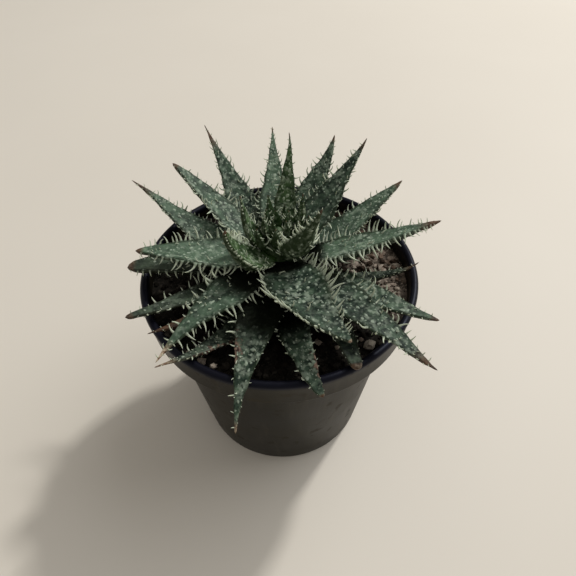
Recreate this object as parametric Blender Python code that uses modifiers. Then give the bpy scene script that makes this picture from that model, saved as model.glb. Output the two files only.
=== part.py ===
# A potted aloe: a low rosette of toothed leaves on a short stem, in a round nursery pot of soil.
#
# Metres, +Z up. The origin is the middle of the pot's underside and the pot stands on z = 0.
# -Y is the front, where two leaves hang over the rim.

import math
import random
from collections import namedtuple

import bmesh
import bpy
from mathutils import Quaternion, Vector, noise
from mathutils.bvhtree import BVHTree

MM = 0.001
GAP = 0.3 * MM

# Pot: a thin tapered wall with a wider collar round its mouth
POT_HEIGHT = 72.0 * MM
RIM_RADIUS = 42.5 * MM
COLLAR_HEIGHT = 10.0 * MM
BODY_TOP_RADIUS = 37.6 * MM
BASE_RADIUS = 31.5 * MM
WALL = 1.3 * MM
RIM_WALL = 2.3 * MM
FLOOR = 1.6 * MM
FOOT_CHAMFER = 0.8 * MM
COLLAR_DRAFT = 0.8 * MM
BEAD_STEPS = 6
SIDES = 40
DRAIN_HOLES = 8
DRAIN_RADIUS = 3.0 * MM
DRAIN_RING = 21.0 * MM
DRAIN_SIDES = 10

# Soil: low in the middle, banked up to the wall
SOIL_MIDDLE = 63.6 * MM
SOIL_EDGE = 66.3 * MM
SOIL_LUMPS = 0.5 * MM
LUMP_SPAN = 6.0 * MM
SOIL_RINGS = 6

# Stem: the radius at each height, from its foot in the soil to the bud
STEM = [(5.6, 46.0), (5.9, 50.0), (5.9, 70.0), (5.2, 76.0), (4.2, 80.0), (2.6, 83.5), (1.2, 86.5)]
STEM_TOP = 89.0
STEM_SIDES = 16

# Blade: widest about a third of the way out, a little hollow above and keeled below.
# ROOT_WIDTH, KEEL, CHANNEL and KEEL_AT_ROOT are shares of the width or of the full keel.
WIDEST_AT = 0.38
ROOT_WIDTH = 0.5
EDGE = 0.4 * MM
KEEL = 0.28
KEEL_AT_ROOT = 0.5
FULL_KEEL_AT = 0.3
LEAST_KEEL = 0.3 * MM
CHANNEL = 0.07
BLUNT_TIP = 2.0
MIDLINE_STEPS = 200

# Teeth: soft pale points along both edges, with fewer on the faces
TOOTH_LENGTH = 2.4 * MM
TOOTH_BASE = 1.2 * MM
TOOTH_PITCH = 3.4 * MM
FIRST_TOOTH_AT = 0.08
FACE_TOOTH_LENGTH = 1.7 * MM
FACE_TOOTH_BASE = 0.9 * MM
FACE_TOOTH_SHARE = 0.25
FACE_TEETH_FROM = 0.12
FACE_TEETH_TO = 0.75
TOOTH_CLEARANCE = 0.4 * MM

# Each leaf in millimetres and degrees. Azimuth is counted from +X towards +Y, height is where
# the blade leaves the stem, rise is the angle above level at the root and at the tip, swing is
# how far the blade turns sideways on its way, tip is the width its outline runs down to. Taper
# is 1 for straight sides, less for full ones and more for hollow ones. Roll turns the blade
# about its own middle line.
Leaf = namedtuple("Leaf", "name azimuth height rise_root rise_tip swing length width tip taper roll",
                  defaults=(0,))
LEAVES = [
    Leaf("outer_leaf_1", -142, 68.6, -2, 23, 0, 39.5, 8.5, 0.9, 1.4),
    Leaf("outer_leaf_2", -116, 66.0, 4, 25, -29, 46.0, 8.5, 0.9, 1.5),
    Leaf("outer_leaf_3", -47.9, 66.2, 20, 3.8, -39, 39.2, 10.0, 5.0, 1.2),
    Leaf("outer_leaf_4", -10, 66.0, 3, 24.9, 7, 37.6, 6.5, 0.7, 1.2),
    Leaf("outer_leaf_5", 101, 66.1, 14, 33, 0, 30.0, 9.5, 0.7, 1.4),
    Leaf("outer_leaf_6", -175.5, 73.2, 16, -6, -1, 39.5, 10.7, 2.4, 0.5),
    Leaf("outer_leaf_7", -154, 71.2, 5, 7, 2, 41.5, 8.5, 2.4, 1.2),
    Leaf("middle_leaf_1", 33, 68.6, 18, 24, -6, 44.8, 11.8, 0.8, 0.9),
    Leaf("middle_leaf_2", 146.5, 67.6, 7, 33.4, 5, 52.4, 13.5, 0.7, 1.4),
    Leaf("middle_leaf_3", -86, 68.8, 19, -6.6, 16, 41.9, 10.4, 2.2, 0.85),
    Leaf("middle_leaf_4", -34.7, 68.8, 27, -4.5, 1, 44.8, 13.0, 1.6, 1.1),
    Leaf("middle_leaf_5", 117, 69.1, 29, 43.5, 6, 49.0, 12.7, 0.7, 1.5),
    Leaf("middle_leaf_6", 64.0, 70.2, 36, 41.2, -10, 41.9, 13.2, 0.7, 1.1),
    Leaf("middle_leaf_7", 92.4, 75.0, 25, 27.2, -4, 43.6, 10.4, 0.7, 1.4),
    Leaf("middle_leaf_8", -132, 75.6, 19, -15.5, 3, 43.5, 12.1, 0.8, 1.35),
    Leaf("middle_leaf_9", -104.5, 71.5, 31, -43, 2, 50.0, 13.0, 1.4, 1.4),
    Leaf("middle_leaf_10", -51, 72.6, 32, -25.2, 4, 52.0, 12.8, 0.7, 1.05),
    Leaf("middle_leaf_11", 139.7, 76.0, 26, 31.4, 8, 38.2, 9.8, 0.7, 0.75, 8),
    Leaf("middle_leaf_12", -1.4, 75.3, 18, 14, 3, 42.9, 11.9, 0.7, 1.0, -14),
    Leaf("middle_leaf_13", -170, 77.6, 18, -1.8, -14, 36.5, 12.5, 0.8, 0.75),
    Leaf("middle_leaf_14", -79.2, 78.4, 20, -0.5, 25, 38.3, 16.4, 0.7, 0.85),
    Leaf("middle_leaf_15", 40.7, 76.6, 36, 37, 1, 39.5, 11.5, 0.7, 1.3),
    Leaf("inner_leaf_1", -130, 79.8, 20, 80.8, -44, 21.3, 10.4, 0.7, 1.0, -11),
    Leaf("inner_leaf_2", 78.3, 78.2, 46, 51, 4, 32.0, 6.7, 0.7, 1.3),
    Leaf("inner_leaf_3", -58.6, 80.6, 62, 66.7, 46, 22.9, 9.0, 0.7, 1.1, -36),
    Leaf("inner_leaf_4", 171, 79.0, 62, 86, -12, 19.3, 5.0, 0.7, 1.4),
    Leaf("inner_leaf_5", 107, 81.1, 60, 90, 8, 13.1, 5.0, 0.7, 1.4),
    Leaf("inner_leaf_6", 34, 80.6, 58, 84, -1, 15.1, 5.0, 0.7, 1.4),
]

# Colours, linear
POT_COLOUR = (0.035, 0.034, 0.027)
SOIL_COLOUR = (0.045, 0.028, 0.018)
STEM_COLOUR = (0.10, 0.13, 0.05)
OUTER_COLOUR = (0.075, 0.095, 0.065)
MIDDLE_COLOUR = (0.085, 0.125, 0.085)
INNER_COLOUR = (0.06, 0.12, 0.045)


def clear_scene():
    for old in list(bpy.data.objects):
        bpy.data.objects.remove(old)


def new_collection(name):
    group = bpy.data.collections.new(name)
    bpy.context.scene.collection.children.link(group)
    return group


def material(name, colour, roughness):
    made = bpy.data.materials.new(name)
    made.use_nodes = True
    shader = made.node_tree.nodes["Principled BSDF"]
    shader.inputs["Base Color"].default_value = (*colour, 1.0)
    shader.inputs["Roughness"].default_value = roughness
    shader.inputs["Metallic"].default_value = 0.0
    return made


def add_object(name, mesh, group, finish):
    made = bpy.data.objects.new(name, mesh)
    group.objects.link(made)
    mesh.materials.append(finish)
    return made


def turned(name, profile, sides, group, finish):
    """A body turned round Z from a profile of (radius, height) points."""
    mesh = bpy.data.meshes.new(name)
    points = [(radius, 0.0, height) for radius, height in profile]
    mesh.from_pydata(points, [(i, i + 1) for i in range(len(points) - 1)], [])
    made = add_object(name, mesh, group, finish)
    screw = made.modifiers.new("Turn", "SCREW")
    screw.axis = "Z"
    screw.steps = sides
    screw.render_steps = sides
    screw.use_merge_vertices = True
    screw.merge_threshold = 0.01 * MM
    screw.use_smooth_shade = True
    return made


def between(points, x):
    """The second value of a list of pairs at the first value x, read along straight lines."""
    for (x0, y0), (x1, y1) in zip(points, points[1:]):
        if x <= x1:
            share = max(0.0, (x - x0) / (x1 - x0))
            return y0 + (y1 - y0) * share
    return points[-1][1]


# Pot

def pot_inner_radius(height):
    """Inside radius of the body's wall."""
    outer = between([(0.0, BASE_RADIUS), (POT_HEIGHT - COLLAR_HEIGHT, BODY_TOP_RADIUS)], height)
    return outer - WALL


def make_pot(group, cutters, finish):
    shoulder = POT_HEIGHT - COLLAR_HEIGHT
    mouth = RIM_RADIUS - RIM_WALL
    bead = RIM_WALL / 2
    profile = [
        (0.0, FLOOR),
        (pot_inner_radius(FLOOR), FLOOR),
        (pot_inner_radius(shoulder), shoulder),
        (mouth, shoulder + WALL),
        (mouth, POT_HEIGHT - bead),
    ]
    for step in range(1, BEAD_STEPS):
        turn = math.pi * step / BEAD_STEPS
        profile.append((mouth + bead - bead * math.cos(turn), POT_HEIGHT - bead + bead * math.sin(turn)))
    profile += [
        (RIM_RADIUS, POT_HEIGHT - bead),
        (RIM_RADIUS - COLLAR_DRAFT, shoulder),
        (BODY_TOP_RADIUS, shoulder),
        (BASE_RADIUS, FOOT_CHAMFER),
        (BASE_RADIUS - FOOT_CHAMFER, 0.0),
        (0.0, 0.0),
    ]
    pot = turned("pot", profile, SIDES, group, finish)
    bpy.ops.mesh.primitive_cylinder_add(vertices=DRAIN_SIDES, radius=DRAIN_RADIUS, depth=4 * FLOOR)
    first = bpy.context.active_object
    for index in range(DRAIN_HOLES):
        turn = math.tau * (index + 0.5) / DRAIN_HOLES
        hole = bpy.data.objects.new(f"drain_hole_cutter_{index + 1}", first.data)
        hole.location = (DRAIN_RING * math.cos(turn), DRAIN_RING * math.sin(turn), 0.0)
        hole.hide_render = True
        hole.display_type = "WIRE"
        cutters.objects.link(hole)
    bpy.data.objects.remove(first)
    drain = pot.modifiers.new("Drain holes", "BOOLEAN")
    drain.operation = "DIFFERENCE"
    drain.operand_type = "COLLECTION"
    drain.collection = cutters
    return pot


# Soil

def soil_height(x, y):
    """Height of the soil's surface: banked towards the wall, with low lumps."""
    reach = min(1.0, math.hypot(x, y) / (RIM_RADIUS - RIM_WALL))
    bank = reach * reach * (3 - 2 * reach)
    lump = noise.noise(Vector((x, y, 0.0)) / LUMP_SPAN) * SOIL_LUMPS
    return SOIL_MIDDLE + (SOIL_EDGE - SOIL_MIDDLE) * bank + lump


def make_soil(group, finish):
    """A body that fills the pot, with a plain hole for the stem's foot."""
    shoulder = POT_HEIGHT - COLLAR_HEIGHT
    hole_foot = STEM[0][1] * MM - GAP
    hole_radius = STEM[1][0] * MM + GAP
    rim = RIM_RADIUS - RIM_WALL - GAP
    profile = [
        (0.0, FLOOR + GAP),
        (pot_inner_radius(FLOOR) - GAP, FLOOR + GAP),
        (pot_inner_radius(shoulder) - GAP, shoulder + GAP),
        (rim, shoulder + WALL + GAP),
    ]
    rings = [rim + (hole_radius - rim) * step / SOIL_RINGS for step in range(SOIL_RINGS + 1)]
    profile += [(radius, POT_HEIGHT) for radius in rings]
    profile += [(hole_radius, hole_foot), (0.0, hole_foot)]
    shape = bmesh.new()
    verts = [shape.verts.new((radius, 0.0, height)) for radius, height in profile]
    edges = [shape.edges.new(pair) for pair in zip(verts, verts[1:])]
    bmesh.ops.spin(shape, geom=verts + edges, cent=(0, 0, 0), axis=(0, 0, 1), angle=math.tau,
                   steps=SIDES, use_merge=True)
    bmesh.ops.remove_doubles(shape, verts=shape.verts, dist=0.01 * MM)
    bmesh.ops.recalc_face_normals(shape, faces=shape.faces)
    for vert in shape.verts:
        if vert.co.z > POT_HEIGHT - GAP:
            vert.co.z = soil_height(vert.co.x, vert.co.y)
    mesh = bpy.data.meshes.new("soil")
    shape.to_mesh(mesh)
    shape.free()
    return add_object("soil", mesh, group, finish)


# Stem

def make_stem(group, finish):
    profile = [(0.0, STEM_TOP * MM)]
    profile += [(radius * MM, height * MM) for radius, height in reversed(STEM)]
    profile.append((0.0, STEM[0][1] * MM))
    return turned("stem", profile, STEM_SIDES, group, finish)


def stem_radius(height):
    return between([(z, radius) for radius, z in STEM], height)


# Leaves

def blade_width(leaf, t):
    """Width in metres at the share t of the leaf's length."""
    if t < WIDEST_AT:
        share = ROOT_WIDTH + (1 - ROOT_WIDTH) * math.sin(math.pi / 2 * t / WIDEST_AT)
        return leaf.width * MM * share
    fall = (1 - (t - WIDEST_AT) / (1 - WIDEST_AT)) ** leaf.taper
    return (leaf.tip + (leaf.width - leaf.tip) * fall) * MM


def blade_depth(leaf, t):
    """Depth of the keel below the middle line."""
    swell = KEEL_AT_ROOT + (1 - KEEL_AT_ROOT) * min(1.0, t / FULL_KEEL_AT)
    return KEEL * blade_width(leaf, t) * swell + LEAST_KEEL


def leaf_directions(leaf, t):
    """Unit vectors along the blade, across it and out of its upper face."""
    rise = math.radians(leaf.rise_root + (leaf.rise_tip - leaf.rise_root) * t)
    azimuth = math.radians(leaf.azimuth + leaf.swing * t)
    along = Vector((math.cos(rise) * math.cos(azimuth), math.cos(rise) * math.sin(azimuth), math.sin(rise)))
    level = Vector((-math.sin(azimuth), math.cos(azimuth), 0.0))
    across = Quaternion(along, math.radians(leaf.roll)) @ level
    return along, across, along.cross(across)


def leaf_stations(leaf):
    """Shares of the length: long plain steps with a short one for a tooth after each.

    A fine tip is one long cone, so it does without the last short step.
    """
    pitches = round(leaf.length * MM / TOOTH_PITCH)
    pitch = 1.0 / pitches
    short = TOOTH_BASE / (leaf.length * MM)
    shares = []
    for index in range(pitches):
        shares += [index * pitch, (index + 1) * pitch - short]
    if leaf.tip < BLUNT_TIP:
        shares.pop()
    return shares


def leaf_midline(leaf, shares):
    """Points on the blade's middle line at the given shares of its length."""
    azimuth = math.radians(leaf.azimuth)
    inward = EDGE + blade_width(leaf, 0.0) / 2 * abs(math.sin(math.radians(leaf.roll)))
    root = stem_radius(leaf.height) * MM + GAP + inward * abs(math.sin(math.radians(leaf.rise_root)))
    here = Vector((root * math.cos(azimuth), root * math.sin(azimuth), leaf.height * MM))
    stride = leaf.length * MM / MIDLINE_STEPS
    line = [here]
    for step in range(MIDLINE_STEPS):
        here = here + leaf_directions(leaf, (step + 0.5) / MIDLINE_STEPS)[0] * stride
        line.append(here)
    return [line[round(share * MIDLINE_STEPS)] for share in shares]


def make_blade(leaf):
    """The plain blade: rings of six corners, a flat root and a point. Returns it with its faces."""
    shape = bmesh.new()
    shares = leaf_stations(leaf)
    middles = leaf_midline(leaf, shares + [1.0])
    rings = []
    for t, middle in zip(shares, middles):
        _, across, up = leaf_directions(leaf, t)
        width = blade_width(leaf, t)
        half = width / 2
        edge = min(EDGE, half)
        dip = CHANNEL * width
        corners = [(half, edge), (0.0, edge - dip), (-half, edge), (-half, -edge),
                   (0.0, -blade_depth(leaf, t)), (half, -edge)]
        rings.append([shape.verts.new(middle + across * u + up * v) for u, v in corners])
    quads = []
    for near, far in zip(rings, rings[1:]):
        sides = [(i, (i + 1) % 6) for i in range(6)]
        quads.append([shape.faces.new((near[a], near[b], far[b], far[a])) for a, b in sides])
    shape.faces.new(list(reversed(rings[0])))
    point = shape.verts.new(middles[-1])
    for i in range(6):
        shape.faces.new((rings[-1][i], rings[-1][(i + 1) % 6], point))
    bmesh.ops.recalc_face_normals(shape, faces=shape.faces)
    return shape, shares, quads


def clear_length(root, direction, longest, others):
    """The longest of a few tooth lengths that keeps clear of the other bodies, or nothing."""
    for length in (longest, 0.75 * longest, 0.5 * longest):
        spots = [root + direction * length * share for share in (0.35, 0.7, 1.0)]
        if all(tree.find_nearest(spot, TOOTH_CLEARANCE)[0] is None for tree in others for spot in spots):
            return length
    return 0.0


def raise_tooth(shape, face, direction, longest, others):
    """Turns one face into a pointed tooth."""
    root = face.calc_center_median()
    length = clear_length(root, direction, longest, others)
    if length > 0.0:
        tooth = bmesh.ops.poke(shape, faces=[face])
        tooth["verts"][0].co = root + direction * length


def shrink_face(shape, face, size):
    """Splits a small square out of the middle of a face, for the root of a face tooth."""
    bmesh.ops.inset_individual(shape, faces=[face], thickness=size / 10)
    middle = face.calc_center_median()
    for vert in face.verts:
        vert.co = middle + (vert.co - middle).normalized() * size / math.sqrt(2)


def tooth_size(t):
    """Teeth are longest a third of the way out, shorter at the root and shortest at the tip."""
    return math.sin(math.pi * (0.25 + 0.65 * t))


def add_edge_teeth(leaf, shape, ring, t, others, draw):
    """One tooth on each edge, leaning out, towards the tip and a little up."""
    along, across, up = leaf_directions(leaf, t)
    for face, side in ((ring[5], 1), (ring[2], -1)):
        lean = across * side + along * draw.uniform(0.2, 0.6) + up * draw.uniform(0.0, 0.5)
        longest = TOOTH_LENGTH * tooth_size(t) * draw.uniform(0.8, 1.1)
        raise_tooth(shape, face, lean.normalized(), longest, others)


def add_face_teeth(leaf, shape, ring, t, others, draw):
    """Here and there a tooth on the upper or the under face, leaning towards the tip."""
    along = leaf_directions(leaf, t)[0]
    for face in (ring[0], ring[1], ring[3], ring[4]):
        if draw.random() < FACE_TOOTH_SHARE:
            lean = (face.normal + along * draw.uniform(0.3, 0.8)).normalized()
            shrink_face(shape, face, FACE_TOOTH_BASE)
            raise_tooth(shape, face, lean, FACE_TOOTH_LENGTH * tooth_size(t), others)


def add_teeth(leaf, shape, shares, quads, others, draw):
    for index, ring in enumerate(quads):
        t = (shares[index] + shares[index + 1]) / 2
        if index % 2 == 1 and t > FIRST_TOOTH_AT:
            add_edge_teeth(leaf, shape, ring, t, others, draw)
        if index % 2 == 0 and FACE_TEETH_FROM < t < FACE_TEETH_TO:
            add_face_teeth(leaf, shape, ring, t, others, draw)


def make_leaves(group, finishes, fixed):
    """All leaves: every plain blade first, then the teeth, each clear of what is round it."""
    blades = {leaf.name: make_blade(leaf) for leaf in LEAVES}
    trees = {name: BVHTree.FromBMesh(blade[0]) for name, blade in blades.items()}
    draw = random.Random(7)
    for leaf in LEAVES:
        shape, shares, quads = blades[leaf.name]
        others = fixed + [tree for name, tree in trees.items() if name != leaf.name]
        shape.normal_update()
        add_teeth(leaf, shape, shares, quads, others, draw)
        trees[leaf.name] = BVHTree.FromBMesh(shape)
        mesh = bpy.data.meshes.new(leaf.name)
        shape.to_mesh(mesh)
        shape.free()
        ring = leaf.name.split("_")[0]
        made = add_object(leaf.name, mesh, group, finishes[ring])
        made.data.shade_smooth()
        made.data.set_sharp_from_angle(angle=math.radians(40))


def main():
    clear_scene()
    group = new_collection("potted_aloe")
    cutters = new_collection("cutters")
    pot = make_pot(group, cutters, material("pot plastic", POT_COLOUR, 0.5))
    soil = make_soil(group, material("soil", SOIL_COLOUR, 0.95))
    stem = make_stem(group, material("stem", STEM_COLOUR, 0.6))
    finishes = {
        "outer": material("outer leaf", OUTER_COLOUR, 0.6),
        "middle": material("middle leaf", MIDDLE_COLOUR, 0.55),
        "inner": material("inner leaf", INNER_COLOUR, 0.5),
    }
    bpy.context.view_layer.update()
    seen = bpy.context.evaluated_depsgraph_get()
    fixed = [BVHTree.FromObject(body, seen) for body in (pot, soil, stem)]
    make_leaves(group, finishes, fixed)


main()
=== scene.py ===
# %% [markdown]
# # A potted aloe, built leaf by leaf
#
# The subject is a dwarf aloe in a dark nursery pot, about ten centimetres across. Its look comes
# from twenty-eight thick, tapering leaves with soft pale teeth on their edges and raised pale
# spots on their faces. The solids of the part already give every leaf its place. This lesson
# stands a finer piece of the same form in place of each, and gives everything its finish.

import math
import random
from collections import namedtuple

import bmesh
import bpy
from mathutils import Matrix, Quaternion, Vector, noise


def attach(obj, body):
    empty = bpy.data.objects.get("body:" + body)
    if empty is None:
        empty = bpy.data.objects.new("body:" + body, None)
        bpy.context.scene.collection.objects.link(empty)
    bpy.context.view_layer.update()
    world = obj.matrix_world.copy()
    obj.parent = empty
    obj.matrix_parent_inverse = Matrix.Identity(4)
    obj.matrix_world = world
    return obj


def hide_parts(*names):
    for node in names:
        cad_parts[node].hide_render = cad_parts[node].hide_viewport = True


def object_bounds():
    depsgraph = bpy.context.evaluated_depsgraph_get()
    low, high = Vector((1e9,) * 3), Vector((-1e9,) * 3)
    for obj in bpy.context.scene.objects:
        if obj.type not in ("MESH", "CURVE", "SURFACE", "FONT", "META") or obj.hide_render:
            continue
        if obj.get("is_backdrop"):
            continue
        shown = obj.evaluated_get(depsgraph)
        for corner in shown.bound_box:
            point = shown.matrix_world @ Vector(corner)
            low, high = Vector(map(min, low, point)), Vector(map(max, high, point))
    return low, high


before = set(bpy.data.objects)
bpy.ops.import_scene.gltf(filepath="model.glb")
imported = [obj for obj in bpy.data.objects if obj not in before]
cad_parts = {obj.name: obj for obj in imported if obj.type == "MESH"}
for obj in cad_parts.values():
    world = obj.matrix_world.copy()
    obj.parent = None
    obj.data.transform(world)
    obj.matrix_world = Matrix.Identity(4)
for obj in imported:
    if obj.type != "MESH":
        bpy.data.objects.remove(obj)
cad_low, cad_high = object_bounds()
print("solids in the part:", len(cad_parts))

# %% [markdown]
# ## The view
#
# The plant is seen from the front and steeply from above, from less than twenty centimetres away,
# so the near leaves look large and the pot narrows quickly towards its foot. A short lens close
# by gives that; a long lens further off would flatten it. The camera leans over by less than a
# degree.

# %% Point the camera
MM = 0.001
camera_data = bpy.data.cameras.new("plant camera")
camera_data.lens = 28.0
camera_data.sensor_width = 36.0
camera_data.clip_start = 0.01
camera = bpy.data.objects.new("plant camera", camera_data)
bpy.context.scene.collection.objects.link(camera)
camera.location = (0.0, -98.6 * MM, 170.1 * MM)
looking = Vector((0.01789, 0.67178, -0.74054))
lean = Matrix.Rotation(math.radians(-0.81), 3, "Z")
camera.rotation_euler = (looking.to_track_quat("-Z", "Y").to_matrix() @ lean).to_euler()
bpy.context.scene.camera = camera
bpy.context.scene.view_settings.view_transform = "Standard"
print("camera at", tuple(round(v, 3) for v in camera.location))

# %% [markdown]
# ## Finishes from nodes
#
# Every finish here is a small network of nodes round one shader: noise for soft changes of tone,
# cells for flecks, and values stored on the mesh for what depends on the place on a leaf. A few
# short helpers keep those networks readable. Sizes are given in metres, because the pieces are
# modelled at true size and their own coordinates are in metres too.

# %% Short ways to add nodes
class Finish:
    """A material with one shader, and short ways to add nodes to it."""

    def __init__(self, name, roughness):
        self.material = bpy.data.materials.new(name)
        self.material.use_nodes = True
        self.tree = self.material.node_tree
        self.shader = self.tree.nodes["Principled BSDF"]
        self.shader.inputs["Roughness"].default_value = roughness
        self.place = self.node("ShaderNodeTexCoord").outputs["Object"]

    def node(self, kind, **settings):
        made = self.tree.nodes.new(kind)
        for key, value in settings.items():
            setattr(made, key, value)
        return made

    def fill(self, socket, value):
        """Links a node's output to a socket, or sets a plain number or colour on it."""
        if isinstance(value, bpy.types.NodeSocket):
            self.tree.links.new(value, socket)
        elif isinstance(value, tuple) and len(value) == 3 and socket.type == "RGBA":
            socket.default_value = (*value, 1.0)
        else:
            socket.default_value = value

    def stored(self, name):
        """A value stored on the mesh."""
        return self.node("ShaderNodeAttribute", attribute_name=name).outputs["Fac"]

    def noise(self, size, detail=3.0, place=None):
        made = self.node("ShaderNodeTexNoise")
        self.fill(made.inputs["Vector"], place or self.place)
        made.inputs["Scale"].default_value = 1.0 / size
        made.inputs["Detail"].default_value = detail
        return made.outputs["Fac"]

    def cells(self, size, place=None):
        """Distance to the nearest of scattered points, as a share of their spacing."""
        made = self.node("ShaderNodeTexVoronoi")
        self.fill(made.inputs["Vector"], place or self.place)
        made.inputs["Scale"].default_value = 1.0 / size
        return made.outputs["Distance"]

    def fade(self, value, low, high):
        """0 below low, 1 above high and smooth between; low above high turns it round."""
        made = self.node("ShaderNodeMapRange", interpolation_type="SMOOTHSTEP")
        self.fill(made.inputs["Value"], value)
        ends = ((low, 0.0), (high, 1.0)) if low < high else ((high, 1.0), (low, 0.0))
        for side, (at, to) in zip(("Min", "Max"), ends):
            made.inputs["From " + side].default_value = at
            made.inputs["To " + side].default_value = to
        return made.outputs["Result"]

    def maths(self, operation, a, b):
        made = self.node("ShaderNodeMath", operation=operation)
        self.fill(made.inputs[0], a)
        self.fill(made.inputs[1], b)
        return made.outputs[0]

    def times(self, a, b):
        return self.maths("MULTIPLY", a, b)

    def plus(self, a, b):
        return self.maths("ADD", a, b)

    def minus(self, a, b):
        return self.maths("SUBTRACT", a, b)

    def unsigned(self, value):
        return self.maths("ABSOLUTE", value, 0.0)

    def mix(self, share, a, b):
        made = self.node("ShaderNodeMix", data_type="RGBA")
        self.fill(made.inputs[0], share)
        self.fill(made.inputs[6], a)
        self.fill(made.inputs[7], b)
        return made.outputs[2]

    def relief(self, height, depth):
        made = self.node("ShaderNodeBump")
        self.fill(made.inputs["Height"], height)
        made.inputs["Strength"].default_value = 1.0
        made.inputs["Distance"].default_value = depth
        self.fill(self.shader.inputs["Normal"], made.outputs["Normal"])

    def colour(self, value):
        self.fill(self.shader.inputs["Base Color"], value)

    def roughness(self, value):
        self.fill(self.shader.inputs["Roughness"], value)


# %% [markdown]
# ## Table and light
#
# The pot stands on a pale beige table in daylight from behind on the right, so its shadow falls
# to the front left. The shadow has a fairly crisp edge and then deepens slowly towards the pot. A
# small lamp gives the edge, a large one beside it gives the slow fall, and a weak even sky fills
# what is left. One lamp of middling size would give an evenly grey shadow with a blurred edge.

# %% Lay the table and hang the lamps
floor_mesh = bpy.data.meshes.new("table top")
floor_half = 4.0
corners = [(-floor_half, -floor_half, 0.0), (floor_half, -floor_half, 0.0),
           (floor_half, floor_half, 0.0), (-floor_half, floor_half, 0.0)]
floor_mesh.from_pydata(corners, [], [(0, 1, 2, 3)])
floor = bpy.data.objects.new("table_top", floor_mesh)
bpy.context.scene.collection.objects.link(floor)
floor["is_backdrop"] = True
table = Finish("pale table", 0.6)
table.colour(table.mix(table.noise(0.12), (0.685, 0.64, 0.565), (0.72, 0.675, 0.60)))
floor_mesh.materials.append(table.material)

world = bpy.data.worlds.new("soft sky")
bpy.context.scene.world = world
world.use_nodes = True
world.node_tree.nodes["Background"].inputs["Color"].default_value = (1.0, 0.955, 0.89, 1.0)
world.node_tree.nodes["Background"].inputs["Strength"].default_value = 0.38


def hang_lamp(name, azimuth, elevation, distance, size, power, colour):
    """An area lamp in the given direction that faces the plant."""
    lamp_data = bpy.data.lights.new(name, "AREA")
    lamp_data.energy = power
    lamp_data.size = size
    lamp_data.color = colour
    lamp = bpy.data.objects.new(name, lamp_data)
    bpy.context.scene.collection.objects.link(lamp)
    turn, rise = math.radians(azimuth), math.radians(elevation)
    away = Vector((math.cos(rise) * math.cos(turn), math.cos(rise) * math.sin(turn), math.sin(rise)))
    lamp.location = Vector((0.0, 0.0, 0.06)) + away * distance
    lamp.rotation_euler = away.to_track_quat("Z", "Y").to_euler()
    print(name, "at", tuple(round(v, 2) for v in lamp.location))


hang_lamp("day lamp", 45, 48, 2.4, 0.19, 28.0, (1.0, 0.98, 0.94))
hang_lamp("window glow", 25, 48, 2.6, 2.1, 25.5, (0.97, 0.985, 1.0))

# %% [markdown]
# ## The measures of the plant
#
# A leaf is told by a few numbers: where it leaves the stem, which way it points, how steeply it
# rises at its root and at its tip, how far it swings sideways, how long and wide it is, how wide
# its tip is, how hollow its sides are and how far it is rolled about its own line. The solids
# were made from the same table, in millimetres and degrees, so the finer leaves fill the same
# places. Measuring the solids instead would give their facets too.

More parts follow.
